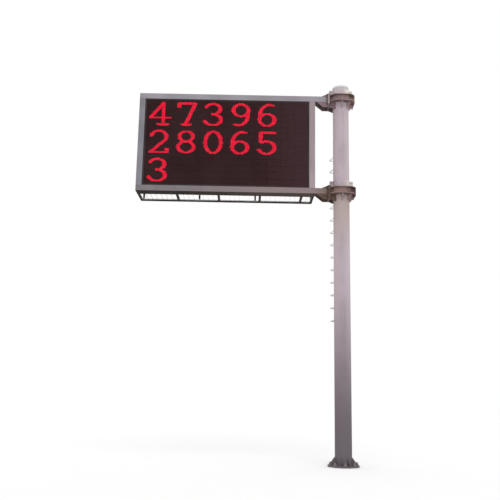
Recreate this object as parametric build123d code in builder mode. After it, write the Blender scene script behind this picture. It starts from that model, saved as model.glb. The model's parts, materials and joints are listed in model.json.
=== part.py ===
from build123d import *
import math
import os

# Cantilever sign gantry: one tubular post, two collars, and two arms that frame a display over the road.
# Millimetres. +Z is up, the display faces -Y and reaches out along -X.
# The origin is the centre of the base flange's underside, at ground level.

os.makedirs("parts", exist_ok=True)

# Post and its foot
post_diameter = 377
post_wall = 10
post_above_arm = 330
flange_diameter = 700
flange_thickness = 30
anchor_circle = 590
anchor_hole = 42
anchor_count = 8
foot_rib_height = 170
foot_rib_reach = 130
foot_rib_thickness = 12
cap_skirt = 45
cap_plate = 8
cap_overhang = 6
cap_chamfer = 5

# Display frame: two arms and two uprights of the same box section
section_face = 137
section_depth = 265
section_wall = 6
frame_bottom = 6130
frame_to_post = 628

# Collars and flanges where the arms meet the post
collar_half = 313
collar_height = 160
collar_plate = 14
collar_corner = 80
drum_radius = 262
drum_wall = 10
joint_face = 305
joint_plate = 22
joint_depth = 400
joint_above = 126
joint_below = 200
joint_corner = 66
haunch_below = 240
collar_rib_height = 155
collar_rib_thickness = 12
collar_rib_tip = 40
collar_rib_toe = 15
collar_rib_count = 5
hoop_height = 190
hoop_thickness = 8
hoop_ear_reach = 275
hoop_ear_thickness = 10
hoop_split = 20
gusset_length_above = 150
gusset_length_below = 270
gusset_flat_below = 110
gusset_thickness = 10
gusset_tip = 15

# Display
bezel_recess = 6
bezel_thickness = 20
bezel_side = 43
bezel_edge = 33
cabinet_wall = 3
module_width = 320
module_height = 160
modules_across = 12
modules_up = 13
led_thickness = 40
led_recess = 10
door_count = 4
door_thickness = 25
door_margin = 60
door_gap = 12

# Walkway behind the display
deck_width = 690
beam_size = 50
beam_wall = 4
cross_beam_first = 913
cross_beam_pitch = 990
grating_depth = 20
grating_bar = 3
grating_pitch = 125
rail_size = 40
rail_wall = 3
rail_height = 1100
rail_post_count = 4
rail_post_inset = 50
mid_rail_size = 30

# Step irons behind the post
iron_diameter = 22
iron_pitch = 300
iron_lowest = 3200
irons_above_collar = 2
iron_reach = 400
iron_half_width = 235
iron_root_half_width = 150
iron_corner = 40
iron_flats = 8
iron_clearance = 60

post_radius = post_diameter / 2
flange_radius = flange_diameter / 2
led_width = modules_across * module_width
led_height = modules_up * module_height
frame_width = led_width + 2 * (bezel_side + section_face)
frame_height = led_height + 2 * (bezel_edge + section_face)
frame_top = frame_bottom + frame_height
frame_right = -frame_to_post
frame_left = frame_right - frame_width
arm_heights = {"lower": frame_bottom + section_face / 2, "upper": frame_top - section_face / 2}
post_top = arm_heights["upper"] + post_above_arm
front = -section_depth / 2
back = section_depth / 2
stub_face = joint_plate - joint_face
end_face = collar_half - joint_plate


def save(part, name):
    part.label = name
    export_step(part, f"parts/{name}.step")


# --- Post ---------------------------------------------------------------------------------------

with BuildPart() as base_flange:
    with BuildSketch(Plane.XY):
        Circle(flange_radius)
        with PolarLocations(anchor_circle / 2, anchor_count):
            Circle(anchor_hole / 2, mode=Mode.SUBTRACT)
    extrude(amount=flange_thickness)
save(base_flange.part, "base_flange")

with BuildPart() as post_tube:
    with BuildSketch(Plane.XY.offset(flange_thickness)):
        Circle(post_radius)
        Circle(post_radius - post_wall, mode=Mode.SUBTRACT)
    extrude(amount=post_top - flange_thickness)
save(post_tube.part, "post_tube")

with BuildPart() as base_ribs:
    half_step = 180 / anchor_count
    for turn in PolarLocations(0, anchor_count, start_angle=half_step):
        with BuildSketch(Plane(turn) * Plane.XZ.offset(-foot_rib_thickness / 2)):
            with BuildLine():
                Polyline(
                    (post_radius - post_wall / 2, flange_thickness),
                    (post_radius + foot_rib_reach, flange_thickness),
                    (post_radius + foot_rib_reach, flange_thickness + foot_rib_thickness),
                    (post_radius + foot_rib_thickness, flange_thickness + foot_rib_height),
                    (post_radius - post_wall / 2, flange_thickness + foot_rib_height),
                    close=True,
                )
            make_face()
        extrude(amount=foot_rib_thickness)
    with BuildSketch(Plane.XY):
        Circle(post_radius)
    extrude(amount=post_top, mode=Mode.SUBTRACT)
save(base_ribs.part, "base_ribs")

with BuildPart() as post_cap:
    with BuildSketch(Plane.XY.offset(post_top - cap_skirt)):
        Circle(post_radius + cap_overhang)
    extrude(amount=cap_skirt + cap_plate)
    with BuildSketch(Plane.XY.offset(post_top - cap_skirt)):
        Circle(post_radius)
    extrude(amount=cap_skirt, mode=Mode.SUBTRACT)
    chamfer(post_cap.edges().group_by(Axis.Z)[-1], cap_chamfer)
save(post_cap.part, "post_cap")

# --- Collars, flanges and stubs -----------------------------------------------------------------


def collar_plate_part(bottom):
    """One square plate round the post, narrowed to the joint's width on the display's side."""
    with BuildPart() as plate:
        with BuildSketch(Plane.XY.offset(bottom)):
            with BuildLine():
                Polyline(
                    (stub_face, -joint_depth / 2),
                    (stub_face + collar_half - joint_depth / 2, -collar_half),
                    (end_face - collar_corner, -collar_half),
                    (end_face, collar_corner - collar_half),
                    (end_face, collar_half - collar_corner),
                    (end_face - collar_corner, collar_half),
                    (stub_face + collar_half - joint_depth / 2, collar_half),
                    (stub_face, joint_depth / 2),
                    close=True,
                )
            make_face()
            Circle(post_radius, mode=Mode.SUBTRACT)
        extrude(amount=collar_plate)
    return plate.part


def drum_part(bottom, height):
    """The round wall between the two plates of a collar."""
    with BuildPart() as drum:
        with BuildSketch(Plane.XY.offset(bottom)):
            Circle(drum_radius)
            Circle(drum_radius - drum_wall, mode=Mode.SUBTRACT)
        extrude(amount=height)
    return drum.part


def collar_ribs_part(top):
    """Triangular ribs under a collar, round the half that faces away from the display."""
    with BuildPart() as ribs:
        for turn in PolarLocations(0, collar_rib_count, start_angle=-90, angular_range=180, endpoint=True):
            with BuildSketch(Plane(turn) * Plane.XZ.offset(-collar_rib_thickness / 2)):
                with BuildLine():
                    Polyline(
                        (post_radius - post_wall / 2, top),
                        (end_face, top),
                        (end_face, top - collar_rib_tip),
                        (post_radius + collar_rib_toe, top - collar_rib_height),
                        (post_radius - post_wall / 2, top - collar_rib_height),
                        close=True,
                    )
                make_face()
            extrude(amount=collar_rib_thickness)
        with BuildSketch(Plane.XY):
            Circle(post_radius)
        extrude(amount=post_top, mode=Mode.SUBTRACT)
    return ribs.part


def hoop_part(bottom):
    """A clamp in two halves round the post, with ears towards and away from the display."""
    with BuildPart() as hoop:
        with BuildSketch(Plane.XY.offset(bottom)):
            Circle(post_radius + hoop_thickness)
            Rectangle(2 * hoop_ear_reach, hoop_split + 2 * hoop_ear_thickness)
            Circle(post_radius, mode=Mode.SUBTRACT)
            Rectangle(2 * hoop_ear_reach, hoop_split, mode=Mode.SUBTRACT)
        extrude(amount=hoop_height)
    return hoop.part


def joint_outline(middle):
    """Corners of a joint flange seen along the arm, with its two lower corners cut off."""
    half = joint_depth / 2
    return [
        (-half, middle + joint_above),
        (-half, middle - joint_below + joint_corner),
        (joint_corner - half, middle - joint_below),
        (half - joint_corner, middle - joint_below),
        (half, middle - joint_below + joint_corner),
        (half, middle + joint_above),
    ]


def arm_flange_part(middle):
    """The flange at the near end of an arm."""
    with BuildPart() as plate:
        with BuildSketch(Plane.YZ.offset(-joint_face - joint_plate)):
            with BuildLine():
                Polyline(*joint_outline(middle), close=True)
            make_face()
        extrude(amount=joint_plate)
    return plate.part


def collar_flanges_part(middle):
    """The flange at the stub's end, and the end plate that closes the collar's other side."""
    with BuildPart() as flanges:
        with BuildSketch(Plane.YZ.offset(-joint_face)):
            with BuildLine():
                Polyline(*joint_outline(middle), close=True)
            make_face()
        with BuildSketch(Plane.YZ.offset(end_face)):
            with Locations((0, middle + collar_height / 2)):
                Rectangle(joint_depth, collar_height + collar_rib_tip, align=(Align.CENTER, Align.MAX))
        extrude(amount=joint_plate)
    return flanges.part


def stub_part(middle, height):
    """The short boxes from the drum to the stub flange, and to the end plate on its other side."""
    with BuildPart() as stub:
        with BuildSketch(Plane.YZ.offset(stub_face)):
            with Locations((0, middle)):
                Rectangle(section_depth, height)
                Rectangle(section_depth - 2 * section_wall, height - 2 * section_wall, mode=Mode.SUBTRACT)
        extrude(amount=end_face - stub_face)
        with BuildSketch(Plane.XY):
            Circle(drum_radius)
        extrude(amount=post_top, mode=Mode.SUBTRACT)
    return stub.part


def arm_gussets_part(middle):
    """Plates in line with the arm's two sides: above and below the arm, and from the collar to the post."""
    root = -joint_face - joint_plate
    arm_half = section_face / 2
    with BuildPart() as gussets:
        for side in (front, back - gusset_thickness):
            with BuildSketch(Plane.XZ.offset(-side - gusset_thickness)):
                with BuildLine():
                    Polyline(
                        (root, middle + arm_half),
                        (root, middle + joint_above),
                        (root - gusset_tip, middle + joint_above),
                        (root - gusset_length_above, middle + arm_half),
                        close=True,
                    )
                make_face()
                with BuildLine():
                    Polyline(
                        (root, middle - arm_half),
                        (root, middle - joint_below),
                        (root - gusset_flat_below, middle - joint_below),
                        (root - gusset_length_below, middle - arm_half),
                        close=True,
                    )
                make_face()
                with BuildLine():
                    Polyline(
                        (stub_face, middle - collar_height / 2),
                        (stub_face, middle - joint_below),
                        (-post_radius, middle - haunch_below),
                        (-post_radius / 2, middle - haunch_below),
                        (-post_radius / 2, middle - collar_height / 2),
                        close=True,
                    )
                make_face()
            extrude(amount=gusset_thickness)
        with BuildSketch(Plane.XY):
            Circle(post_radius)
        extrude(amount=post_top, mode=Mode.SUBTRACT)
    return gussets.part


def arm_part(middle):
    """A box section from the display's far end to the arm flange, closed at the far end."""
    with BuildPart() as arm:
        length = frame_to_post + frame_width - joint_face - joint_plate
        with BuildSketch(Plane.YZ.offset(frame_left)):
            with Locations((0, middle)):
                Rectangle(section_depth, section_face)
        extrude(amount=length)
        fillet(arm.edges().filter_by(Axis.X), section_wall)
        with BuildSketch(Plane.YZ.offset(frame_left + section_wall)):
            with Locations((0, middle)):
                Rectangle(section_depth - 2 * section_wall, section_face - 2 * section_wall)
        extrude(amount=length, mode=Mode.SUBTRACT)
    return arm.part


for level, middle in arm_heights.items():
    collar_bottom = middle - collar_height / 2
    collar_top = middle + collar_height / 2
    wall_height = collar_height - 2 * collar_plate
    save(collar_plate_part(collar_bottom), f"{level}_collar_bottom_plate")
    save(collar_plate_part(collar_top - collar_plate), f"{level}_collar_top_plate")
    save(drum_part(collar_bottom + collar_plate, wall_height), f"{level}_collar_drum")
    save(collar_ribs_part(collar_bottom), f"{level}_collar_ribs")
    save(hoop_part(collar_top), f"{level}_hoop")
    save(stub_part(middle, wall_height), f"{level}_stub")
    save(collar_flanges_part(middle), f"{level}_stub_flange")
    save(arm_flange_part(middle), f"{level}_arm_flange")
    save(arm_gussets_part(middle), f"{level}_arm_gussets")
    save(arm_part(middle), f"{level}_arm")

# --- Display frame ------------------------------------------------------------------------------


def upright_part(left):
    """An upright of the frame, between the two arms."""
    upright_hollow = section_face - 2 * section_wall
    with BuildPart() as upright:
        with BuildSketch(Plane.XY.offset(frame_bottom + section_face)):
            with Locations((left + section_face / 2, 0)):
                Rectangle(section_face, section_depth)
                Rectangle(upright_hollow, section_depth - 2 * section_wall, mode=Mode.SUBTRACT)
        extrude(amount=frame_height - 2 * section_face)
    return upright.part


save(upright_part(frame_left), "left_upright")
save(upright_part(frame_right - section_face), "right_upright")

# --- Display ------------------------------------------------------------------------------------

opening_left = frame_left + section_face
opening_right = frame_right - section_face
opening_bottom = frame_bottom + section_face
opening_top = frame_top - section_face
display_middle = (opening_left + opening_right) / 2
led_middle_height = (opening_bottom + opening_top) / 2
bezel_front = front + bezel_recess

with BuildPart() as cabinet:
    with BuildSketch(Plane.XZ.offset(-back)):
        with Locations((display_middle, led_middle_height)):
            Rectangle(opening_right - opening_left, opening_top - opening_bottom)
    extrude(amount=back - bezel_front - bezel_thickness)
    offset(amount=-cabinet_wall, openings=cabinet.faces().sort_by(Axis.Y)[0])
save(cabinet.part, "display_cabinet")

with BuildPart() as bezel:
    with BuildSketch(Plane.XZ.offset(-bezel_front - bezel_thickness)):
        with Locations((display_middle, led_middle_height)):
            Rectangle(opening_right - opening_left, opening_top - opening_bottom)
            Rectangle(led_width, led_height, mode=Mode.SUBTRACT)
    extrude(amount=bezel_thickness)
save(bezel.part, "display_bezel")

with BuildPart() as led_panel:
    with BuildSketch(Plane.XZ.offset(-bezel_front - led_recess - led_thickness)):
        with Locations((display_middle, led_middle_height)):
            Rectangle(led_width, led_height)
    extrude(amount=led_thickness)
save(led_panel.part, "led_panel")

door_span = opening_right - opening_left - 2 * door_margin
door_width = (door_span - (door_count - 1) * door_gap) / door_count
for number in range(door_count):
    door_left = opening_left + door_margin + number * (door_width + door_gap)
    with BuildPart() as door:
        with BuildSketch(Plane.XZ.offset(-back - door_thickness)):
            with Locations((door_left + door_width / 2, led_middle_height)):
                Rectangle(door_width, opening_top - opening_bottom - 2 * door_margin)
        extrude(amount=door_thickness)
    save(door.part, f"rear_door_{number + 1}")

# --- Walkway ------------------------------------------------------------------------------------

outer_beam_y = back + deck_width - beam_size
beam_top = frame_bottom + beam_size


def beam_along_x(y, z, size, wall, x0, x1):
    """A square tube along the walkway, with its lowest edge nearest the display at y, z."""
    with BuildPart() as beam:
        with BuildSketch(Plane.YZ.offset(x0)):
            with Locations((y + size / 2, z + size / 2)):
                Rectangle(size, size)
                Rectangle(size - 2 * wall, size - 2 * wall, mode=Mode.SUBTRACT)
        extrude(amount=x1 - x0)
    return beam.part


def cross_beams_part(lefts):
    """Square tubes from the inner beam to the outer beam."""
    with BuildPart() as beams:
        for left in lefts:
            with BuildSketch(Plane.XZ.offset(-outer_beam_y)):
                with Locations((left + beam_size / 2, frame_bottom + beam_size / 2)):
                    Rectangle(beam_size, beam_size)
                    Rectangle(beam_size - 2 * beam_wall, beam_size - 2 * beam_wall, mode=Mode.SUBTRACT)
            extrude(amount=outer_beam_y - back - beam_size)
    return beams.part


save(beam_along_x(back, frame_bottom, beam_size, beam_wall, frame_left, frame_right), "walkway_inner_beam")
save(
    beam_along_x(outer_beam_y, frame_bottom, beam_size, beam_wall, frame_left, frame_right),
    "walkway_outer_beam",
)
near_end_left = frame_right - beam_size
cross_count = math.floor((frame_width - 2 * beam_size - cross_beam_first) / cross_beam_pitch) + 1
cross_lefts = [frame_left + cross_beam_first + cross_beam_pitch * number for number in range(cross_count)]
save(cross_beams_part(cross_lefts), "walkway_cross_beams")
save(cross_beams_part([frame_left]), "walkway_left_end_beam")
save(cross_beams_part([near_end_left]), "walkway_right_end_beam")

with BuildPart() as grating:
    bay_lefts = [frame_left + beam_size] + [left + beam_size for left in cross_lefts]
    bay_rights = cross_lefts + [near_end_left]
    bay_width = outer_beam_y - back - beam_size
    with BuildSketch(Plane.XY.offset(beam_top - grating_depth)):
        for bay_left, bay_right in zip(bay_lefts, bay_rights):
            bay_length = bay_right - bay_left
            bar_count = math.ceil((bay_length - grating_bar) / grating_pitch) + 1
            bar_spacing = (bay_length - grating_bar) / (bar_count - 1)
            with Locations(((bay_left + bay_right) / 2, (back + beam_size + outer_beam_y) / 2)):
                with GridLocations(bar_spacing, 0, bar_count, 1):
                    Rectangle(grating_bar, bay_width)
                with GridLocations(0, bay_width - grating_bar, 1, 2):
                    Rectangle(bay_length, grating_bar)
    extrude(amount=grating_depth)
save(grating.part, "walkway_grating")

rail_y = back + deck_width - rail_size
first_post = frame_left + rail_post_inset
last_post = frame_right - rail_size
post_pitch = (last_post - first_post) / (rail_post_count - 1)

with BuildPart() as rail_posts:
    with BuildSketch(Plane.XY.offset(beam_top)):
        for number in range(rail_post_count):
            with Locations((first_post + number * post_pitch + rail_size / 2, rail_y + rail_size / 2)):
                Rectangle(rail_size, rail_size)
                Rectangle(rail_size - 2 * rail_wall, rail_size - 2 * rail_wall, mode=Mode.SUBTRACT)
    extrude(amount=rail_height)
save(rail_posts.part, "guard_rail_posts")

rail_top = beam_top + rail_height
mid_rail_bottom = beam_top + rail_height / 2
mid_rail_y = rail_y - mid_rail_size
save(beam_along_x(rail_y, rail_top, rail_size, rail_wall, frame_left, frame_right), "guard_top_rail")
save(
    beam_along_x(mid_rail_y, mid_rail_bottom, mid_rail_size, rail_wall, frame_left, frame_right),
    "guard_mid_rail",
)

with BuildPart() as end_rails:
    for size, bottom, end in (
        (rail_size, rail_top, rail_y),
        (mid_rail_size, mid_rail_bottom, mid_rail_y),
    ):
        with BuildSketch(Plane.XZ.offset(-end)):
            with Locations((frame_left + size / 2, bottom + size / 2)):
                Rectangle(size, size)
                Rectangle(size - 2 * rail_wall, size - 2 * rail_wall, mode=Mode.SUBTRACT)
        extrude(amount=end - back)
save(end_rails.part, "guard_end_rails")

# --- Step irons ---------------------------------------------------------------------------------


def step_irons_part(heights):
    """Eight-sided bars that straddle the post's back, one at each height, with their corners cut across."""
    root = Vector(iron_root_half_width, 0)
    corner = Vector(iron_half_width, iron_reach - iron_diameter / 2)
    along = (corner - root).normalized()
    near_side = [root, corner - along * iron_corner, corner - Vector(iron_corner, 0)]
    outline = [(point.X, point.Y) for point in near_side]
    outline += [(-x, y) for x, y in reversed(outline)]
    with BuildPart() as irons:
        for height in heights:
            with BuildLine():
                Polyline(*[(x, y, height) for x, y in outline])
            with BuildSketch(Plane((root.X, root.Y, height), z_dir=along)):
                RegularPolygon(iron_diameter / 2, iron_flats, major_radius=False, rotation=180 / iron_flats)
            sweep(transition=Transition.RIGHT)
        with BuildSketch(Plane.XY):
            Circle(post_radius)
        extrude(amount=post_top, mode=Mode.SUBTRACT)
    return irons.part


lower_collar_foot = arm_heights["lower"] - collar_height / 2 - collar_rib_height
lower_collar_head = arm_heights["lower"] + collar_height / 2 + hoop_height
lower_room = lower_collar_foot - iron_clearance - iron_lowest
below_collar = math.floor(lower_room / iron_pitch) + 1
first_above = math.ceil((lower_collar_head + iron_clearance - iron_lowest) / iron_pitch)
lower_heights = [iron_lowest + iron_pitch * number for number in range(below_collar)]
upper_heights = [iron_lowest + iron_pitch * (first_above + number) for number in range(irons_above_collar)]
save(step_irons_part(lower_heights), "lower_step_irons")
save(step_irons_part(upper_heights), "upper_step_irons")
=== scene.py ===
import itertools
import json
import math
import random

import bmesh
import bpy
import numpy as np
from mathutils import Matrix, Vector


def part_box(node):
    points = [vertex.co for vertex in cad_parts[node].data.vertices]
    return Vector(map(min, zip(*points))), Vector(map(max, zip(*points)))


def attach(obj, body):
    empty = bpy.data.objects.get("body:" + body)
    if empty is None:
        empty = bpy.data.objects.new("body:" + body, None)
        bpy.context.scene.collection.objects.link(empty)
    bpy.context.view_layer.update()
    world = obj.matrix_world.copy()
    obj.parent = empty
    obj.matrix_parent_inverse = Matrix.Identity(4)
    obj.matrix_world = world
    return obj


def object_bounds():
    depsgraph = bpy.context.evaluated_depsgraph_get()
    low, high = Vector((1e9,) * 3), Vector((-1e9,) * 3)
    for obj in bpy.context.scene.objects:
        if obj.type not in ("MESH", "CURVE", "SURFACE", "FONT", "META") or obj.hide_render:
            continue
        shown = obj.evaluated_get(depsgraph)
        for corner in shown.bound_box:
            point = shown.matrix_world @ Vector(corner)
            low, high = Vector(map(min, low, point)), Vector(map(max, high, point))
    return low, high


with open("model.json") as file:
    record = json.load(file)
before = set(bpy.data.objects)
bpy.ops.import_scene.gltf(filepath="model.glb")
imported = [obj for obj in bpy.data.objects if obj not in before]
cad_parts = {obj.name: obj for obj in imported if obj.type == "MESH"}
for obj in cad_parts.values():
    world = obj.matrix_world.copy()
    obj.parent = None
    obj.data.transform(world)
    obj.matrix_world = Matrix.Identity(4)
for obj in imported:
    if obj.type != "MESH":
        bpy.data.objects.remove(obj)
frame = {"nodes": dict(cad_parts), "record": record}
cad_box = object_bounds()

# The looks of the cantilever sign gantry: paint, rust and dirt on the steelwork, with painted light and shade
# on its undersides and on some of its sides, the dot-matrix display, and the small fasteners and welds.
# Metres, in the part's own frame: the display faces -Y, +Z is up.

rng = random.Random(7)

X = Vector((1, 0, 0))
Y = Vector((0, 1, 0))
Z = Vector((0, 0, 1))

# --- Places taken from the frame ----------------------------------------------------------------

levels = ("lower", "upper")
post_low, post_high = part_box("post_tube")
post_radius = (post_high.x - post_low.x) / 2
flange_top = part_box("base_flange")[1].z
led_low, led_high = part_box("led_panel")
arm_centre = {level: (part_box(f"{level}_arm")[0].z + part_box(f"{level}_arm")[1].z) / 2 for level in levels}


# --- Materials ----------------------------------------------------------------------------------


def new_material(name, roughness, metallic=0.0, specular=0.5):
    """A material with its Principled shader, ready for a pattern."""
    material = bpy.data.materials.new(name)
    material.use_nodes = True
    shader = material.node_tree.nodes["Principled BSDF"]
    shader.inputs["Roughness"].default_value = roughness
    shader.inputs["Metallic"].default_value = metallic
    shader.inputs["Specular IOR Level"].default_value = specular
    return material, material.node_tree, shader


def noise(tree, scale, detail=4.0, stretch=(1, 1, 1), lift=0.0):
    """A noise pattern fixed to the object, stretched along its axes."""
    place = tree.nodes.new("ShaderNodeTexCoord")
    mapping = tree.nodes.new("ShaderNodeMapping")
    mapping.inputs["Scale"].default_value = stretch
    mapping.inputs["Location"].default_value = (lift, lift, lift)
    pattern = tree.nodes.new("ShaderNodeTexNoise")
    pattern.inputs["Scale"].default_value = scale
    pattern.inputs["Detail"].default_value = detail
    tree.links.new(place.outputs["Object"], mapping.inputs["Vector"])
    tree.links.new(mapping.outputs["Vector"], pattern.inputs["Vector"])
    return pattern.outputs["Fac"]


def ramp(tree, source, low, high, top=1.0):
    """The source spread from 0, at low, to top, at high."""
    spread = tree.nodes.new("ShaderNodeMapRange")
    spread.interpolation_type = "SMOOTHSTEP"
    spread.inputs["From Min"].default_value = low
    spread.inputs["From Max"].default_value = high
    spread.inputs["To Max"].default_value = top
    tree.links.new(source, spread.inputs["Value"])
    return spread.outputs["Result"]


def blend(tree, share, first, second):
    """First colour where the share is 0, second where it is 1. Either may be a colour or a socket."""
    mix = tree.nodes.new("ShaderNodeMix")
    mix.data_type = "RGBA"
    tree.links.new(share, mix.inputs[0])
    for socket, colour in ((mix.inputs[6], first), (mix.inputs[7], second)):
        if isinstance(colour, tuple):
            socket.default_value = (*colour, 1)
        else:
            tree.links.new(colour, socket)
    return mix.outputs[2]


def coordinate(tree, axis):
    """Distance along the part's own X, Y or Z, in metres."""
    place = tree.nodes.new("ShaderNodeTexCoord")
    split = tree.nodes.new("ShaderNodeSeparateXYZ")
    tree.links.new(place.outputs["Object"], split.inputs["Vector"])
    return split.outputs[axis]


def facing_down(tree):
    """1 on an underside, 0 on a side or a top."""
    geometry = tree.nodes.new("ShaderNodeNewGeometry")
    split = tree.nodes.new("ShaderNodeSeparateXYZ")
    tree.links.new(geometry.outputs["Normal"], split.inputs["Vector"])
    return ramp(tree, split.outputs["Z"], -0.35, -0.9)


def combine(tree, operation, first, second):
    """The product or the sum of two sources."""
    both = tree.nodes.new("ShaderNodeMath")
    both.operation = operation
    tree.links.new(first, both.inputs[0])
    tree.links.new(second, both.inputs[1])
    return both.outputs["Value"]


def bump(tree, shader, source, distance, strength):
    """Fine relief, distance deep in metres."""
    node = tree.nodes.new("ShaderNodeBump")
    node.inputs["Strength"].default_value = strength
    node.inputs["Distance"].default_value = distance
    tree.links.new(source, node.inputs["Height"])
    tree.links.new(node.outputs["Normal"], shader.inputs["Normal"])


def banded(tree, colour, tint, rise, fall, share):
    """A tint over a stretch of the height, with uneven ends.

    It comes in from rise[0] to rise[1] and goes from fall[0] to fall[1].
    """
    uneven = ramp(tree, noise(tree, 1.3, 4, stretch=(1, 1, 0.4), lift=8.8), 0.2, 0.8, 0.3)
    height = combine(tree, "ADD", coordinate(tree, "Z"), uneven)
    coming, going = ramp(tree, height, *rise, share), ramp(tree, height, fall[1], fall[0])
    return blend(tree, combine(tree, "MULTIPLY", coming, going), colour, tint)


def faded_along(tree, colour, tint, start, end, axis="X"):
    """A tint that comes in from start to end along an axis."""
    return blend(tree, ramp(tree, coordinate(tree, axis), start, end), colour, tint)


def weathered_paint(
    name, light, dark, dirt, below,
    streaks=0.4, roughness=0.6, specular=0.2, bands=(), fades=(), underside_shade_fades=(),
):
    """Old sprayed paint on steel: cloudy fading, rain streaks, painted shading on the undersides, fine orange
    peel.

    bands holds what banded takes: tint, rise, fall and share. fades, for the paint, and the underside fades,
    for its painted underside shading, hold what faded_along takes: tint, start, end and perhaps an axis.
    """
    material, tree, shader = new_material(name, roughness, specular=specular)
    clouds = ramp(tree, noise(tree, 1.7, 5), 0.36, 0.66)
    colour = blend(tree, clouds, light, dark)
    runs = ramp(tree, noise(tree, 9, 4, stretch=(1.6, 1.6, 0.12), lift=3.1), 0.52, 0.78, streaks)
    colour = blend(tree, runs, colour, dirt)
    specks = ramp(tree, noise(tree, 46, 3, lift=7.7), 0.66, 0.75, 0.5)
    colour = blend(tree, specks, colour, dirt)
    for fade in fades:
        colour = faded_along(tree, colour, *fade)
    for band in bands:
        colour = banded(tree, colour, *band)
    # Painted light and shade on undersides: faces that point down take the underside colour, in patches. On
    # most paints that colour is darker, a painted shade.
    patchy = ramp(tree, noise(tree, 5, 3, lift=1.4), 0.0, 0.3)
    under = combine(tree, "MULTIPLY", facing_down(tree), patchy)
    for fade in underside_shade_fades:
        below = faded_along(tree, below, *fade)
    tree.links.new(blend(tree, under, colour, below), shader.inputs["Base Color"])
    rough = ramp(tree, noise(tree, 14, 4, lift=5.2), -0.6, 0.8, roughness + 0.2)
    tree.links.new(rough, shader.inputs["Roughness"])
    bump(tree, shader, noise(tree, 160, 3), 0.0006, 0.35)
    return material


def galvanised(name, light, dark, roughness=0.5, metallic=0.4):
    """Zinc-coated steel with its spangle and dull stains."""
    material, tree, shader = new_material(name, roughness, metallic, specular=0.3)
    cells = tree.nodes.new("ShaderNodeTexVoronoi")
    cells.inputs["Scale"].default_value = 70
    place = tree.nodes.new("ShaderNodeTexCoord")
    tree.links.new(place.outputs["Object"], cells.inputs["Vector"])
    colour = blend(tree, ramp(tree, cells.outputs["Distance"], 0.1, 0.9), light, dark)
    colour = blend(tree, ramp(tree, noise(tree, 11, 5, lift=2.0), 0.5, 0.75, 0.6), colour, dark)
    tree.links.new(colour, shader.inputs["Base Color"])
    tree.links.new(ramp(tree, noise(tree, 25, 4), -0.3, 0.8, roughness + 0.2), shader.inputs["Roughness"])
    bump(tree, shader, noise(tree, 90, 4), 0.0005, 0.3)
    return material


def moulded_plastic(name, light, dark, roughness=0.7, specular=0.2, faded=None):
    """Dull dark plastic with dust on it."""
    material, tree, shader = new_material(name, roughness, specular=specular)
    colour = blend(tree, ramp(tree, noise(tree, 1.1, 4), 0.35, 0.65), light, dark)
    colour = blend(tree, ramp(tree, noise(tree, 60, 2, lift=4), 0.6, 0.72, 0.4), colour, dark)
    if faded:
        colour = faded_along(tree, colour, *faded)
    tree.links.new(colour, shader.inputs["Base Color"])
    tree.links.new(ramp(tree, noise(tree, 20, 3), -0.8, 0.8, roughness + 0.15), shader.inputs["Roughness"])
    bump(tree, shader, noise(tree, 240, 2), 0.0004, 0.3)
    return material


def lit_lens(name, core, edge, strength):
    """A glowing lens, a little uneven from one dot to the next."""
    material, tree, shader = new_material(name, 0.5, specular=0.0)
    colour = blend(tree, ramp(tree, noise(tree, 14, 3), 0.3, 0.7), core, edge)
    tree.links.new(colour, shader.inputs["Emission Color"])
    shader.inputs["Base Color"].default_value = (0.03, 0.0, 0.002, 1)
    shader.inputs["Emission Strength"].default_value = strength
    return material


# The specular level of dull paint, and colours that several paints share: shade is painted shade for
# undersides.
matt = 0.04
shade = (0.043, 0.035, 0.031)
rust = (0.11, 0.065, 0.056)
frame_dirt = (0.13, 0.10, 0.10)
# A painted highlight: the hoops lighten towards their right-hand ears.
hoop_ear_highlight = (0.58, 0.535, 0.50)

post_paint = weathered_paint(
    "post_paint", (0.42, 0.352, 0.392), (0.365, 0.302, 0.335), (0.24, 0.19, 0.19), (0.16, 0.12, 0.12),
    streaks=0.3,
    bands=(
        ((0.545, 0.55, 0.55), (8.5, 8.75), (20, 21), 1.0),
        ((0.385, 0.307, 0.280), (5.0, 5.9), (6.4, 6.6), 0.8),
        ((0.126, 0.105, 0.120), (-2, -1), (0.8, 4.8), 1.0),
    ),
    # Lighter towards both sides of the post: painted light on its flanks.
    fades=(((0.475, 0.400, 0.430), 0.0, 0.17), ((0.450, 0.365, 0.395), -0.03, -0.17)),
)
hoop_paint = weathered_paint(
    "hoop_paint", (0.44, 0.375, 0.40), (0.38, 0.32, 0.345), (0.26, 0.21, 0.20), (0.18, 0.14, 0.14),
    fades=((hoop_ear_highlight, 0.03, 0.16),),
)
upper_hoop_paint = weathered_paint(
    "upper_hoop_paint", (0.54, 0.48, 0.50), (0.46, 0.405, 0.42), (0.30, 0.25, 0.24), (0.22, 0.18, 0.17),
    # The fade is a painted highlight on the right-hand ear.
    streaks=0.2, fades=(((0.72, 0.685, 0.63), 0.03, 0.16),),
)
upper_arm_paint = weathered_paint(
    "upper_arm_paint", (0.295, 0.272, 0.302), (0.255, 0.235, 0.258), frame_dirt, (0.085, 0.075, 0.073),
    streaks=0.3, specular=matt,
)
lower_arm_paint = weathered_paint(
    "lower_arm_paint", (0.208, 0.182, 0.196), (0.172, 0.152, 0.162), frame_dirt, (0.018, 0.014, 0.012),
    streaks=0.5, specular=matt,
    fades=(((0.232, 0.178, 0.184), -4.6, -1.2), ((0.195, 0.138, 0.118), -0.75, -0.35)),
    # The arm's painted underside shade lightens towards the post.
    underside_shade_fades=(((0.056, 0.040, 0.034), -3.9, -1.0),),
)
left_paint = weathered_paint(
    "left_upright_paint", (0.212, 0.206, 0.232), (0.178, 0.172, 0.190), frame_dirt, shade, streaks=0.3
)
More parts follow.
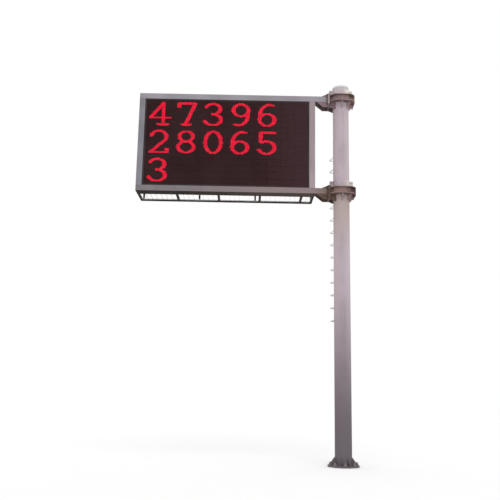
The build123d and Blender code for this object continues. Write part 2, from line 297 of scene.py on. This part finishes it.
right_paint = weathered_paint(
    "right_upright_paint", (0.325, 0.262, 0.282), (0.285, 0.230, 0.244), frame_dirt, shade, streaks=0.3,
    bands=(((0.272, 0.215, 0.230), (6.9, 8.1), (20, 21), 0.8),),
)
collar_paint = weathered_paint(
    "collar_paint", (0.29, 0.205, 0.215), (0.21, 0.145, 0.15), rust, (0.145, 0.09, 0.09), streaks=0.5,
    # Lighter towards the right-hand end: painted light on the collar's right side.
    fades=(((0.36, 0.28, 0.245), 0.02, 0.24),),
)
rib_paint = {
    level: weathered_paint(
        f"{level}_rib_paint", light, dark, rust, (0.165, 0.108, 0.102),
        streaks=0.5, fades=((front, -0.20, -0.23, "Y"),),
    )
    for level, light, dark, front in (
        ("lower", (0.385, 0.27, 0.262), (0.29, 0.20, 0.192), (0.385, 0.315, 0.29)),
        ("upper", (0.43, 0.31, 0.30), (0.33, 0.235, 0.225), (0.40, 0.335, 0.37)),
    )
}
lower_collar_paint = weathered_paint(
    "lower_collar_paint", (0.32, 0.212, 0.195), (0.225, 0.145, 0.134), rust, (0.115, 0.072, 0.068),
    streaks=0.5,
)
# The joint paints are darker than the arms' paint: painted shade on the gussets and flanges at the arm
# joints.
joint_paint = weathered_paint(
    "joint_paint", (0.222, 0.155, 0.160), (0.160, 0.114, 0.118), (0.07, 0.048, 0.045), (0.20, 0.148, 0.146),
    streaks=0.5, specular=matt,
)
lower_joint_paint = weathered_paint(
    "lower_joint_paint", (0.124, 0.086, 0.070), (0.086, 0.060, 0.049), (0.052, 0.035, 0.027),
    (0.130, 0.088, 0.075), streaks=0.5, specular=matt,
)
flange_paint = weathered_paint(
    "flange_paint", (0.36, 0.30, 0.31), (0.27, 0.215, 0.22), rust, shade, streaks=0.4
)
walkway_paint = weathered_paint(
    "walkway_paint", (0.048, 0.035, 0.028), (0.033, 0.024, 0.019), (0.022, 0.016, 0.013),
    (0.034, 0.025, 0.020), roughness=0.7, specular=matt,
)
iron_paint = weathered_paint(
    "step_iron_paint", (0.80, 0.81, 0.79), (0.70, 0.70, 0.68), (0.50, 0.46, 0.42), (0.66, 0.65, 0.62),
    bands=(((0.44, 0.42, 0.385), (-2, -1), (3.2, 5.0), 1.0),),
)
cabinet_paint = weathered_paint(
    "cabinet_paint", (0.33, 0.31, 0.33), (0.27, 0.25, 0.265), (0.15, 0.12, 0.11), shade, streaks=0.5
)
bezel_black = moulded_plastic("bezel_black", (0.026, 0.017, 0.018), (0.036, 0.026, 0.027))
# The display face lightens towards its right-hand end: a painted reflection.
reflection_end = ((0.053, 0.025, 0.0295), -2.2, -0.85)
led_mask = moulded_plastic("led_mask", (0.029, 0.0115, 0.0122), (0.041, 0.0185, 0.0195), 0.85, 0.1, reflection_end)
led_lens = moulded_plastic("led_lens", (0.040, 0.015, 0.017), (0.030, 0.012, 0.013), 0.6, 0.15, reflection_end)
led_lit = lit_lens("led_lit", (1.0, 0.018, 0.056), (0.80, 0.008, 0.036), 1.5)
zinc = galvanised("zinc_fasteners", (0.30, 0.28, 0.28), (0.15, 0.12, 0.11))
grating_zinc = galvanised("grating_zinc", (0.72, 0.71, 0.72), (0.56, 0.54, 0.54), 0.6, 0.0)
rusty = weathered_paint(
    "rusty_fasteners", (0.14, 0.09, 0.075), (0.085, 0.053, 0.046), (0.04, 0.025, 0.02), shade, roughness=0.7
)

slot_paint = {
    "post_paint": post_paint,
    "collar_paint": collar_paint,
    "joint_paint": joint_paint,
    "walkway_paint": walkway_paint,
    "grating_zinc": grating_zinc,
    "step_iron_paint": iron_paint,
    "cabinet_paint": cabinet_paint,
    "bezel_black": bezel_black,
    "led_face": led_mask,
}
node_paint = {
    "lower_hoop": hoop_paint,
    "upper_hoop": upper_hoop_paint,
    "lower_collar_ribs": rib_paint["lower"],
    "upper_collar_ribs": rib_paint["upper"],
    "upper_arm_flange": flange_paint,
    "lower_arm_gussets": lower_joint_paint,
    "lower_arm_flange": lower_joint_paint,
    "lower_stub_flange": lower_joint_paint,
    "lower_arm": lower_arm_paint,
    "upper_arm": upper_arm_paint,
    "left_upright": left_paint,
    "right_upright": right_paint,
}
for piece in ("collar_bottom_plate", "collar_top_plate", "collar_drum", "stub"):
    node_paint[f"lower_{piece}"] = lower_collar_paint

for entry in frame["record"]["subparts"]:
    mesh = frame["nodes"][entry["node"]].data
    mesh.materials.clear()
    mesh.materials.append(node_paint.get(entry["node"]) or slot_paint[entry["material_slot"]])


# --- Building pieces ----------------------------------------------------------------------------


def add_piece(name, mesh, material, smooth):
    """Makes a mesh a piece that rides on the gantry."""
    for face in mesh.polygons:
        face.use_smooth = smooth
    mesh.materials.append(material)
    piece = bpy.data.objects.new(name, mesh)
    bpy.context.scene.collection.objects.link(piece)
    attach(piece, "root")


def finish_piece(name, bm, material, smooth=False):
    """Turns a bmesh into a piece."""
    bmesh.ops.recalc_face_normals(bm, faces=bm.faces)
    mesh = bpy.data.meshes.new(name)
    bm.to_mesh(mesh)
    bm.free()
    add_piece(name, mesh, material, smooth)


def axes_for(axis):
    """Two directions square to an axis."""
    side = Z if abs(axis.z) < 0.9 else X
    across = axis.cross(side).normalized()
    return across, axis.cross(across).normalized()


def join_rings(bm, first, second):
    """Faces between two rings of as many points."""
    sides = len(first)
    for step in range(sides):
        following = (step + 1) % sides
        bm.faces.new((first[step], first[following], second[following], second[step]))


def prism(bm, start, end, section):
    """A three-sided bar along X from start to end, with the (y, z) corners of its section."""
    near, far = ([bm.verts.new((x, y, z)) for y, z in section] for x in (start, end))
    bm.faces.new(near)
    bm.faces.new(far)
    join_rings(bm, near, far)


def lathe(bm, base, axis, profile, sides, turn=0.0):
    """A closed turned form: profile is (distance along the axis, radius) from one end to the other."""
    across, up = axes_for(axis)
    rings = []
    for along, radius in profile:
        ring = []
        for step in range(sides):
            angle = turn + 2 * math.pi * step / sides
            offset = across * (radius * math.cos(angle)) + up * (radius * math.sin(angle))
            ring.append(bm.verts.new(base + axis * along + offset))
        rings.append(ring)
    for lower, upper in zip(rings, rings[1:]):
        join_rings(bm, lower, upper)
    bm.faces.new(rings[0])
    bm.faces.new(rings[-1])


def bevelled_box(bm, low, high, bevel):
    """A box with its edges broken, its points made one by one so that they come in the same order in every
    run.
    """
    centre, half = (Vector(high) + Vector(low)) / 2, (Vector(high) - Vector(low)) / 2
    # Each corner of the box has one point on each of its three flat sides.
    corners = {}
    for signs in itertools.product((-1, 1), repeat=3):
        for flat in range(3):
            reach = [half[axis] - (0 if axis == flat else bevel) for axis in range(3)]
            corners[signs, flat] = bm.verts.new(centre + Vector(a * b for a, b in zip(signs, reach)))
        bm.faces.new([corners[signs, flat] for flat in range(3)])
    for flat in range(3):
        first, second = (axis for axis in range(3) if axis != flat)
        edges = []
        for a, b in ((-1, -1), (1, -1), (1, 1), (-1, 1)):
            near, far = [0, 0, 0], [0, 0, 0]
            near[flat], far[flat] = -1, 1
            near[first] = far[first] = a
            near[second] = far[second] = b
            edges.append((tuple(near), tuple(far)))
        bm.faces.new([corners[near, flat] for near, far in edges])
        bm.faces.new([corners[far, flat] for near, far in edges])
        for near, far in edges:
            chamfer = (near, first), (near, second), (far, second), (far, first)
            bm.faces.new([corners[place] for place in chamfer])


def bolt(bm, seat, axis, size, turn, stud):
    """A washer, a hexagon nut with chamfered corners and the end of its bolt, standing on seat along axis.

    The size is the washer's radius, and stud is how far the bolt stands out, in sizes.
    """
    washer = [(0, size), (size * 0.18, size)]
    lathe(bm, seat, axis, washer, 20)
    nut = seat + axis * size * 0.18
    corner = size * 0.92
    hexagon = [(0, corner * 0.9), (size * 0.08, corner), (size * 0.7, corner), (size * 0.8, corner * 0.86)]
    lathe(bm, nut, axis, hexagon, 6, turn)
    bolt_end = [(0, size * 0.5), (size * stud, size * 0.5), (size * (stud + 0.08), size * 0.4)]
    lathe(bm, nut + axis * size * 0.8, axis, bolt_end, 10)


def weld_line(bm, points, radius, closed=False):
    """A rippled bead along a line of points."""
    sides = 6
    rings = []
    count = len(points)
    for number, point in enumerate(points):
        before = points[number - 1] if closed or number else points[0]
        after = points[(number + 1) % count] if closed or number < count - 1 else points[-1]
        along = (after - before).normalized()
        across, up = axes_for(along)
        ripple = radius * (1 + 0.16 * math.sin(number * 2.1) + rng.uniform(-0.08, 0.08))
        rings.append([
            bm.verts.new(point + across * ripple * math.cos(a) + up * ripple * math.sin(a))
            for a in (2 * math.pi * step / sides for step in range(sides))
        ])
    pairs = list(zip(rings, rings[1:])) + ([(rings[-1], rings[0])] if closed else [])
    for lower, upper in pairs:
        join_rings(bm, lower, upper)
    if not closed:
        bm.faces.new(rings[0])
        bm.faces.new(rings[-1])


def straight(start, end, step=0.02):
    """Points from start to end, about a step apart."""
    start, end = Vector(start), Vector(end)
    count = max(2, round((end - start).length / step))
    return [start.lerp(end, number / count) for number in range(count + 1)]


def circle(centre, radius, step=0.02):
    """Points round a level circle."""
    count = round(2 * math.pi * radius / step)
    return [
        Vector(centre) + Vector((radius * math.cos(a), radius * math.sin(a), 0))
        for a in (2 * math.pi * number / count for number in range(count))
    ]


# --- Display face -------------------------------------------------------------------------------

modules_across = 12
modules_up = 13
rows_in_module = 8
dots_across = 16 * modules_across
dots_up = rows_in_module * modules_up
dot_pitch = (led_high.x - led_low.x) / dots_across
row_pitch = (led_high.z - led_low.z) / dots_up
mask_front = led_low.y - 0.004
seam = 0.0012
# A rain hood's corners: distance behind the mask's front, and height above the top of its row.
hood_section = ((0.001, 0), (-0.005, -0.0016), (0.001, -0.0022))


def led_modules():
    """Module faces with a seam between them, and a thin rain hood over each row of dots."""
    bm = bmesh.new()
    width = (led_high.x - led_low.x) / modules_across
    height = (led_high.z - led_low.z) / modules_up
    for column in range(modules_across):
        for row in range(modules_up):
            x = led_low.x + column * width
            z = led_low.z + row * height
            proud = rng.uniform(0, 0.0006)
            bevelled_box(
                bm,
                (x + seam, mask_front - proud, z + seam),
                (x + width - seam, led_low.y, z + height - seam),
                0.0015,
            )
            for line in range(rows_in_module):
                top = z + (line + 1) * row_pitch - seam
                section = [(mask_front + out, top + rise) for out, rise in hood_section]
                prism(bm, x + seam, x + width - seam, section)
    finish_piece("led_modules", bm, led_mask)


def arc(cx, cz, rx, rz, start, end):
    """Points round part of an ellipse, angles in degrees from +X towards +Z."""
    count = max(3, round(abs(end - start) / 15))
    angles = [math.radians(start + (end - start) * n / count) for n in range(count + 1)]
    return [(cx + rx * math.cos(a), cz + rz * math.sin(a)) for a in angles]


# The numerals of the message, plain ones drawn as strokes in a cell one unit wide and one high.
numerals = {
    "0": [arc(0.5, 0.51, 0.29, 0.39, 0, 360)],
    "2": [arc(0.49, 0.68, 0.28, 0.22, 170, -30) + [(0.20, 0.12), (0.80, 0.12), (0.80, 0.24)]],
    "3": [arc(0.47, 0.71, 0.27, 0.19, 160, -90) + arc(0.47, 0.31, 0.31, 0.20, 90, -165)],
    "4": [[(0.62, 0.12), (0.62, 0.90), (0.15, 0.36), (0.86, 0.36)], [(0.44, 0.11), (0.80, 0.11)]],
    "5": [[(0.78, 0.89), (0.27, 0.89), (0.25, 0.56)] + arc(0.48, 0.35, 0.30, 0.23, 125, -160)],
    "6": [arc(0.58, 0.50, 0.36, 0.40, 70, 180) + arc(0.49, 0.34, 0.28, 0.22, 180, 540)],
    "7": [[(0.20, 0.76), (0.20, 0.89), (0.80, 0.89), (0.46, 0.12)], [(0.34, 0.11), (0.62, 0.11)]],
    "8": [arc(0.5, 0.71, 0.25, 0.18, 0, 360), arc(0.5, 0.32, 0.29, 0.20, 0, 360)],
    "9": [arc(0.51, 0.68, 0.28, 0.22, 0, 360) + arc(0.42, 0.52, 0.36, 0.40, 0, -110)],
}
message = ("47396", "28065", "3")
cells_across = 6
cell_dots = dots_across // cells_across
cell_rows = (dots_up + 1) // len(message)
# The half-sizes, in dots, of the brush that the strokes are drawn with.
brush_across = 2.3
brush_up = 1.25


def lit_dots():
    """Column and row, from the lower left, of every dot that the message lights."""
    lit = set()
    for line, text in enumerate(message):
        for place, numeral in enumerate(text):
            left = place * cell_dots
            bottom = dots_up - (line + 1) * cell_rows + 1
            for stroke in numerals[numeral]:
                for start, end in zip(stroke, stroke[1:]):
                    lit |= dots_near(left, bottom, start, end)
    return lit


def dots_near(left, bottom, start, end):
    """The dots of one cell that a flat-nosed brush covers on its way from start to end."""
    columns, levels = np.meshgrid(np.arange(cell_dots), np.arange(cell_rows - 1))
    px, pz = (columns + 0.5) / brush_across, (levels + 0.5) / brush_up
    ax, az = start[0] * cell_dots / brush_across, start[1] * (cell_rows - 1) / brush_up
    bx, bz = end[0] * cell_dots / brush_across, end[1] * (cell_rows - 1) / brush_up
    length = max((bx - ax) ** 2 + (bz - az) ** 2, 1e-6)
    along = np.clip(((px - ax) * (bx - ax) + (pz - az) * (bz - az)) / length, 0, 1)
    gap = np.hypot(px - ax - along * (bx - ax), pz - az - along * (bz - az))
    rows_hit, columns_hit = np.nonzero(gap < 1)
    return {(left + int(c), bottom + int(r)) for r, c in zip(rows_hit, columns_hit)}


def domes(name, dots, profile, material):
    """Lenses in one mesh: profile is (distance in front of the mask, radius), and ends on the axis."""
    sides = 8
    rings, tip = profile[:-1], profile[-1]
    ring = np.array([
        (radius * math.cos(a), -out, radius * math.sin(a))
        for out, radius in rings
        for a in (2 * math.pi * step / sides for step in range(sides))
    ])
    shape = np.vstack([ring, [[0, -tip[0], 0]]])
    faces = []
    for level in range(len(rings) - 1):
        for step in range(sides):
            following = (step + 1) % sides
            low, high = level * sides, (level + 1) * sides
            faces.append((low + step, low + following, high + following, high + step))
    last = (len(rings) - 1) * sides
    faces += [(last + step, last + (step + 1) % sides, len(ring)) for step in range(sides)]
    centres = np.array([
        (led_low.x + (c + 0.5) * dot_pitch, mask_front, led_low.z + (r + 0.42) * row_pitch)
        for c, r in dots
    ])
    verts = (centres[:, None, :] + shape[None, :, :]).reshape(-1, 3)
    every = [tuple(i + n * len(shape) for i in face) for n in range(len(centres)) for face in faces]
    mesh = bpy.data.meshes.new(name)
    mesh.from_pydata(verts.tolist(), [], every)
    add_piece(name, mesh, material, smooth=True)


led_modules()
lit = lit_dots()
every_dot = [(c, r) for c in range(dots_across) for r in range(dots_up)]
dark = [dot for dot in every_dot if dot not in lit]
domes("led_dots_lit", sorted(lit), [(0, 0.0088), (0.003, 0.0078), (0.0048, 0.004), (0.0054, 0)], led_lit)
domes("led_dots_dark", dark, [(0, 0.0060), (0.0034, 0)], led_lens)


# --- Fasteners ----------------------------------------------------------------------------------


anchor_count = 8
anchor_ring = 0.295
# Washer radii.
anchor_size, joint_size, hoop_size = 0.036, 0.020, 0.014
stub_flange_thickness = 0.022
ear_thickness = 0.020
# How far a bolt stands out of its nut, in washer radii, at its head's side and at its threaded side.
head, threads = 0.1, 0.9


def anchor_bolts():
    """Nuts on the anchor bolts of the base flange."""
    bm = bmesh.new()
    for number in range(anchor_count):
        angle = 2 * math.pi * number / anchor_count
        seat = Vector((anchor_ring * math.cos(angle), anchor_ring * math.sin(angle), flange_top))
        bolt(bm, seat, Z, anchor_size, rng.uniform(0, 1), threads)
    finish_piece("anchor_nuts", bm, zinc)


def joint_bolts(level):
    """The bolts that hold an arm's flange to the stub's, clear of the gussets and the collar plates."""
    bm = bmesh.new()
    display_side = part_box(f"{level}_arm_flange")[0].x
    post_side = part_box(f"{level}_arm_flange")[1].x + stub_flange_thickness
    # Distance from the arm's middle plane, and height above its centre line.
    spots = [(y, 0.103) for y in (0.168, 0.075)] + [(0.168, 0.036), (0.168, -0.036), (0.168, -0.112)]
    spots += [(y, z) for y in (0.03, 0.09) for z in (-0.112, -0.168)]
    for across, rise in spots:
        for y in (-across, across):
            z = arm_centre[level] + rise
            bolt(bm, Vector((display_side, y, z)), -X, joint_size, rng.uniform(0, 1), threads)
            bolt(bm, Vector((post_side, y, z)), X, joint_size, rng.uniform(0, 1), head)
    finish_piece(f"{level}_joint_bolts", bm, rusty)


def hoop_bolts(level):
    """The bolts that draw a hoop's two halves together through their ears."""
    bm = bmesh.new()
    low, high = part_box(f"{level}_hoop")
    for side in (-1, 1):
        for x in (post_radius + 0.030, high.x - 0.020):
            for z in (low.z + 0.035, high.z - 0.035):
                bolt(bm, Vector((side * x, -ear_thickness, z)), -Y, hoop_size, rng.uniform(0, 1), head)
                bolt(bm, Vector((side * x, ear_thickness, z)), Y, hoop_size, rng.uniform(0, 1), threads)
    finish_piece(f"{level}_hoop_bolts", bm, node_paint[f"{level}_hoop"])


anchor_bolts()
for level in levels:
    joint_bolts(level)
    hoop_bolts(level)


# --- Welds --------------------------------------------------------------------------------------


rib_thickness = 0.012
# Bead radii.
heavy_bead, deep_bead, bead, fine_bead = 0.006, 0.005, 0.004, 0.003


def rib_welds(bm, angle, bottom, top, outer, plate):
    """Beads down both sides of a rib, on the post and on the plate that it stands on or hangs from."""
    out = Vector((math.cos(angle), math.sin(angle), 0))
    aside = Vector((-math.sin(angle), math.cos(angle), 0))
    ripple_step = 0.014
    for side in (-1, 1):
        root = out * (post_radius + 0.001) + aside * (side * rib_thickness / 2)
        weld_line(bm, straight(root + Z * bottom, root + Z * top, ripple_step), bead)
        foot = aside * (side * rib_thickness / 2) + Z * plate
        weld_line(bm, straight(out * (post_radius + 0.01) + foot, out * outer + foot, ripple_step), bead)


def post_welds():
    """Beads where the base flange and its ribs meet the post."""
    bm = bmesh.new()
    weld_line(bm, circle((0, 0, flange_top + 0.002), post_radius + 0.002), heavy_bead, closed=True)
    low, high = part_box("base_ribs")
    for number in range(anchor_count):
        angle = 2 * math.pi * (number + 0.5) / anchor_count
        rib_welds(bm, angle, low.z + 0.008, high.z, post_radius + 0.128, low.z + 0.001)
    finish_piece("foot_welds", bm, post_paint, smooth=True)


def collar_welds(level):
    """Beads under a collar: round the post, along the ribs and along the end plate."""
    bm = bmesh.new()
    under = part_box(f"{level}_collar_bottom_plate")[0].z
    weld_line(bm, circle((0, 0, under - 0.001), post_radius + 0.002), deep_bead, closed=True)
    low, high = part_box(f"{level}_collar_ribs")
    for number in range(5):
        angle = math.radians(-90 + 45 * number)
        rib_welds(bm, angle, low.z, high.z - 0.006, high.x - 0.002, under - 0.001)
    end = high.x - 0.001
    weld_line(bm, straight((end, -0.19, under - 0.001), (end, 0.19, under - 0.001)), bead)
    finish_piece(f"{level}_collar_welds", bm, rib_paint[level], smooth=True)


def frame_welds():
    """Beads where the uprights meet the arms, front and back, and round each arm at its flange."""
    bm = bmesh.new()
    for low, high in (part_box("left_upright"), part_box("right_upright")):
        for z in (low.z, high.z):
            for y in (low.y, high.y):
                inward = 0.0008 if y < 0 else -0.0008
                weld_line(bm, straight((low.x, y + inward, z), (high.x, y + inward, z), 0.012), fine_bead)
    for level in levels:
        low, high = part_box(f"{level}_arm")
        x = high.x - 0.002
        for z in (low.z, high.z):
            weld_line(bm, straight((x, low.y + 0.014, z), (x, high.y - 0.014, z)), bead)
        for y in (low.y, high.y):
            weld_line(bm, straight((x, y, low.z + 0.008), (x, y, high.z - 0.008)), bead)
    finish_piece("frame_welds", bm, upper_arm_paint, smooth=True)


post_welds()
frame_welds()
for level in levels:
    collar_welds(level)


# --- Back of the display ------------------------------------------------------------------------


def door_fittings():
    """Hinges, locks and ventilation slats on the rear doors."""
    hinges = bmesh.new()
    slats = bmesh.new()
    pin = [(0, 0.005), (0.002, 0.007), (0.098, 0.007), (0.1, 0.005)]
    lock, key = [(0, 0.018), (0.006, 0.018), (0.010, 0.014)], [(0, 0.006), (0.004, 0.005)]
    slat_pitch, slat_depth, slat_height = 0.03, 0.012, 0.022
    for number in range(1, 5):
        low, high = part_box(f"rear_door_{number}")
        for share in (0.12, 0.5, 0.88):
            z = low.z + (high.z - low.z) * share
            lathe(hinges, Vector((low.x - 0.004, high.y - 0.012, z - 0.05)), Z, pin, 12)
            leaf = (low.x + 0.002, high.y, z - 0.045), (low.x + 0.05, high.y + 0.004, z + 0.045)
            bevelled_box(hinges, *leaf, 0.001)
        for share in (0.25, 0.75):
            z = low.z + (high.z - low.z) * share
            lathe(hinges, Vector((high.x - 0.06, high.y, z)), Y, lock, 20)
            lathe(hinges, Vector((high.x - 0.06, high.y + 0.010, z)), Y, key, 6)
        for bottom in (low.z + 0.16, high.z - 0.46):
            for line in range(10):
                z = bottom + line * slat_pitch
                section = (high.y, z), (high.y + slat_depth, z), (high.y, z + slat_height)
                prism(slats, low.x + 0.22, high.x - 0.22, section)
    finish_piece("rear_door_fittings", hinges, zinc)
    finish_piece("rear_door_vents", slats, cabinet_paint)


door_fittings()

# --- Stage, light and camera --------------------------------------------------------------------


def add_floor():
    """A plain pale floor, a hair below the base flange."""
    bm = bmesh.new()
    bmesh.ops.create_grid(bm, x_segments=1, y_segments=1, size=60)
    mesh = bpy.data.meshes.new("floor")
    bm.to_mesh(mesh)
    bm.free()
    material, tree, shader = new_material("floor_white", 0.9)
    colour = blend(tree, noise(tree, 0.4, 2), (0.86, 0.86, 0.86), (0.84, 0.84, 0.84))
    tree.links.new(colour, shader.inputs["Base Color"])
    mesh.materials.append(material)
    floor = bpy.data.objects.new("floor", mesh)
    bpy.context.scene.collection.objects.link(floor)
    floor.location.z = cad_box[0][2] - 0.002


def add_light():
    """A soft white sky and a broad lamp high in front."""
    world = bpy.data.worlds.new("soft_white")
    bpy.context.scene.world = world
    world.use_nodes = True
    sky = world.node_tree.nodes["Background"]
    sky.inputs["Color"].default_value = (1, 1, 1, 1)
    sky.inputs["Strength"].default_value = 1.0
    lamp = bpy.data.lights.new("key", "SUN")
    lamp.energy = 0.8
    lamp.angle = math.radians(40)
    key = bpy.data.objects.new("key", lamp)
    key.rotation_euler = (math.radians(40), 0, math.radians(5))
    bpy.context.scene.collection.objects.link(key)


def add_camera():
    """A camera at eye height on the road side, looking up at the display."""
    yaw, pitch, roll = math.radians(0.213), math.radians(11.233), math.radians(1.022)
    ahead = Vector((math.sin(yaw) * math.cos(pitch), math.cos(yaw) * math.cos(pitch), math.sin(pitch)))
    level = Vector((math.cos(yaw), -math.sin(yaw), 0))
    above = level.cross(ahead)
    right = math.cos(roll) * level + math.sin(roll) * above
    up = -math.sin(roll) * level + math.cos(roll) * above
    place = Vector((-2.185, -15.893, 1.627))
    data = bpy.data.cameras.new("camera")
    data.lens = 50.4
    data.sensor_width = 36
    camera = bpy.data.objects.new("camera", data)
    bpy.context.scene.collection.objects.link(camera)
    turn = Matrix((right, up, -ahead)).transposed()
    camera.matrix_world = Matrix.Translation(place) @ turn.to_4x4()
    bpy.context.scene.camera = camera


add_floor()
add_light()
add_camera()
bpy.context.scene.view_settings.view_transform = "Standard"
